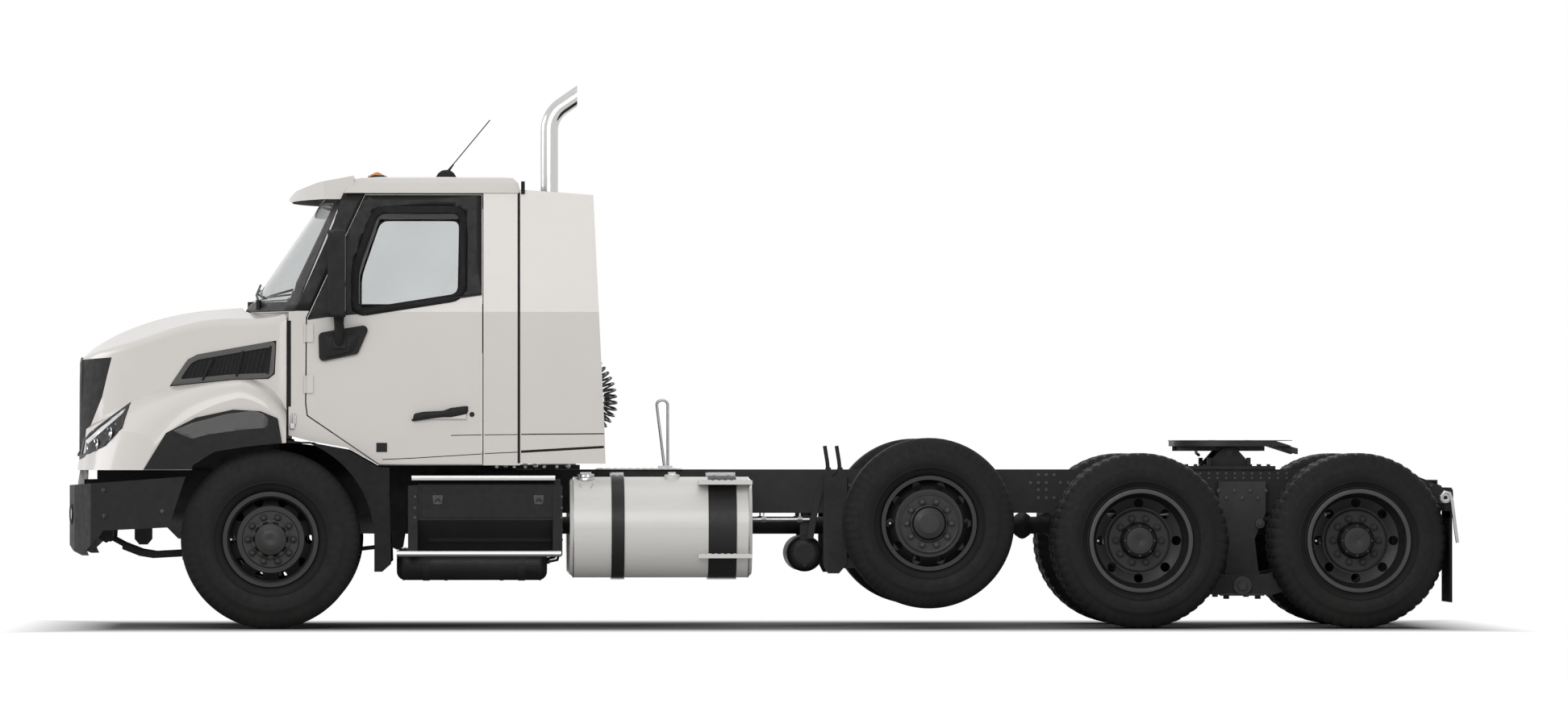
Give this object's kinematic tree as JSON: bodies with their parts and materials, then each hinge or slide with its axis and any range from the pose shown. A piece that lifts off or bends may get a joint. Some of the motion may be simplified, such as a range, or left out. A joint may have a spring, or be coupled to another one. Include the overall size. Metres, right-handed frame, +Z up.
{
  "type": "semi truck tractor unit",
  "caption": "Heavy-haul tractor unit with a day cab, tilting hood, opening doors, steered front axle, raised pusher axle, driven tandem and a tilting fifth wheel.",
  "frame": {"origin": "on the ground, under the middle of the bounding box", "axes": "+X forward along the truck, +Y to its left, +Z up"},
  "size_m": [8.78, 2.9586, 3.4847],
  "materials": {
    "body_paint": "satin clear-coated light warm grey",
    "black_metal": "satin black chassis paint",
    "black_plastic": "grained black moulding",
    "glass": "clear tinted glass",
    "lamp_glass": "clear lamp cover over bright reflectors",
    "red_lamp": "red lamp lens",
    "amber_lamp": "amber marker lens",
    "engine_metal": "painted casting",
    "tank_metal": "brushed aluminium",
    "stack_metal": "bright stack",
    "tyre_rubber": "black tyre rubber",
    "dark_wheel": "dark painted steel wheel",
    "grey_wheel": "grey cast aluminium wheel",
    "seat_cloth": "woven seat cloth",
    "dash_plastic": "soft grained dashboard",
    "line_plastic": "coiled plastic line",
    "fifth_metal": "greased casting"
  },
  "bodies": {
    "chassis": {"frame": "black_metal", "bumper": "black_plastic", "radiator": "engine_metal", "engine": "engine_metal", "steer_axle": "black_metal", "cab_shell": "body_paint", "cab_glass": "glass", "sun_visor": "body_paint", "seats": "seat_cloth", "dashboard": "dash_plastic", "cab_fairings": "body_paint", "roof_fittings": "amber_lamp", "exhaust": "stack_metal", "fuel_tanks": "tank_metal", "step_box": "black_plastic", "air_tanks": "black_metal", "mud_flaps": "black_plastic", "deck_plate": "black_metal", "hose_post": "black_metal", "tail_lamps": "red_lamp", "pusher_axle": "black_metal", "drive_axles": "black_metal", "bogie_suspension": "black_metal", "fifth_wheel_base": "fifth_metal", "air_line_1": "line_plastic", "air_line_2": "line_plastic", "line_sockets": "black_metal"},
    "hood": {"hood_shell": "body_paint", "grilles": "black_plastic", "headlamps": "lamp_glass", "fender_flares": "black_plastic"},
    "door_assembly_left": {"door_left": "body_paint", "door_window_left": "glass", "mirror_left": "black_plastic"},
    "door_assembly_right": {"door_right": "body_paint", "door_window_right": "glass", "mirror_right": "black_plastic"},
    "steering_left": {"knuckle_left": "black_metal"},
    "steering_right": {"knuckle_right": "black_metal"},
    "tie_rod_bar": {"tie_rod": "black_metal"},
    "fifth_wheel_top": {"fifth_wheel_plate": "fifth_metal"},
    "steer_wheel_left": {"tyre_steer_left": "tyre_rubber", "wheel_steer_left": "dark_wheel"},
    "steer_wheel_right": {"tyre_steer_right": "tyre_rubber", "wheel_steer_right": "dark_wheel"},
    "pusher_wheel_left": {"tyre_pusher_left": "tyre_rubber", "wheel_pusher_left": "grey_wheel"},
    "pusher_wheel_right": {"tyre_pusher_right": "tyre_rubber", "wheel_pusher_right": "grey_wheel"},
    "drive_front_wheels_left": {"tyre_drive_front_left": "tyre_rubber", "wheel_drive_front_left": "grey_wheel"},
    "drive_front_wheels_right": {"tyre_drive_front_right": "tyre_rubber", "wheel_drive_front_right": "grey_wheel"},
    "drive_rear_wheels_left": {"tyre_drive_rear_left": "tyre_rubber", "wheel_drive_rear_left": "grey_wheel"},
    "drive_rear_wheels_right": {"tyre_drive_rear_right": "tyre_rubber", "wheel_drive_rear_right": "grey_wheel"}
  },
  "joints": [
    {"name": "hood_hinge", "type": "hinge", "parent": "chassis", "child": "hood", "pos_m": [4.324, 0, 0.911], "axis": [0, 1, 0], "range_deg": [0, 60]},
    {"name": "door_left_hinge", "type": "hinge", "parent": "chassis", "child": "door_assembly_left", "pos_m": [2.894, 1.164, 1.5], "axis": [0, 0, 1], "range_deg": [-70, 0]},
    {"name": "door_right_hinge", "type": "hinge", "parent": "chassis", "child": "door_assembly_right", "pos_m": [2.894, -1.164, 1.5], "axis": [0, 0, 1], "range_deg": [0, 70]},
    {"name": "steer_left_kingpin", "type": "hinge", "parent": "chassis", "child": "steering_left", "pos_m": [3.11, 0.93, 0.562], "axis": [0, 0, 1], "range_deg": [-32, 32]},
    {"name": "steer_right_kingpin", "type": "hinge", "parent": "chassis", "child": "steering_right", "pos_m": [3.11, -0.93, 0.562], "axis": [0, 0, 1], "range_deg": [-32, 32]},
    {"name": "tie_rod_ball", "type": "hinge", "parent": "steering_left", "child": "tie_rod_bar", "pos_m": [2.92, 0.82, 0.43], "axis": [0, 0, 1], "range_deg": [-38, 38]},
    {"name": "fifth_wheel_tilt", "type": "hinge", "parent": "chassis", "child": "fifth_wheel_top", "pos_m": [-2.969, 0, 1.108], "axis": [0, 1, 0], "range_deg": [-12, 12]},
    {"name": "steer_wheel_left_spin", "type": "hinge", "parent": "steering_left", "child": "steer_wheel_left", "pos_m": [3.11, 1.03, 0.562], "axis": [0, 1, 0], "continuous": true},
    {"name": "steer_wheel_right_spin", "type": "hinge", "parent": "steering_right", "child": "steer_wheel_right", "pos_m": [3.11, -1.03, 0.562], "axis": [0, 1, 0], "continuous": true},
    {"name": "pusher_wheel_left_spin", "type": "hinge", "parent": "chassis", "child": "pusher_wheel_left", "pos_m": [-1.021, 1.0505, 0.663], "axis": [0, 1, 0], "continuous": true},
    {"name": "pusher_wheel_right_spin", "type": "hinge", "parent": "chassis", "child": "pusher_wheel_right", "pos_m": [-1.021, -1.0505, 0.663], "axis": [0, 1, 0], "continuous": true},
    {"name": "drive_front_wheels_left_spin", "type": "hinge", "parent": "chassis", "child": "drive_front_wheels_left", "pos_m": [-2.354, 0.93, 0.552], "axis": [0, 1, 0], "continuous": true},
    {"name": "drive_front_wheels_right_spin", "type": "hinge", "parent": "chassis", "child": "drive_front_wheels_right", "pos_m": [-2.354, -0.93, 0.552], "axis": [0, 1, 0], "continuous": true},
    {"name": "drive_rear_wheels_left_spin", "type": "hinge", "parent": "chassis", "child": "drive_rear_wheels_left", "pos_m": [-3.726, 0.93, 0.552], "axis": [0, 1, 0], "continuous": true},
    {"name": "drive_rear_wheels_right_spin", "type": "hinge", "parent": "chassis", "child": "drive_rear_wheels_right", "pos_m": [-3.726, -0.93, 0.552], "axis": [0, 1, 0], "continuous": true}
  ],
  "couplings": [
    {"joint": "steer_right_kingpin", "follows": "steer_left_kingpin", "ratio": 1},
    {"joint": "tie_rod_ball", "follows": "steer_left_kingpin", "ratio": -1.127}
  ]
}
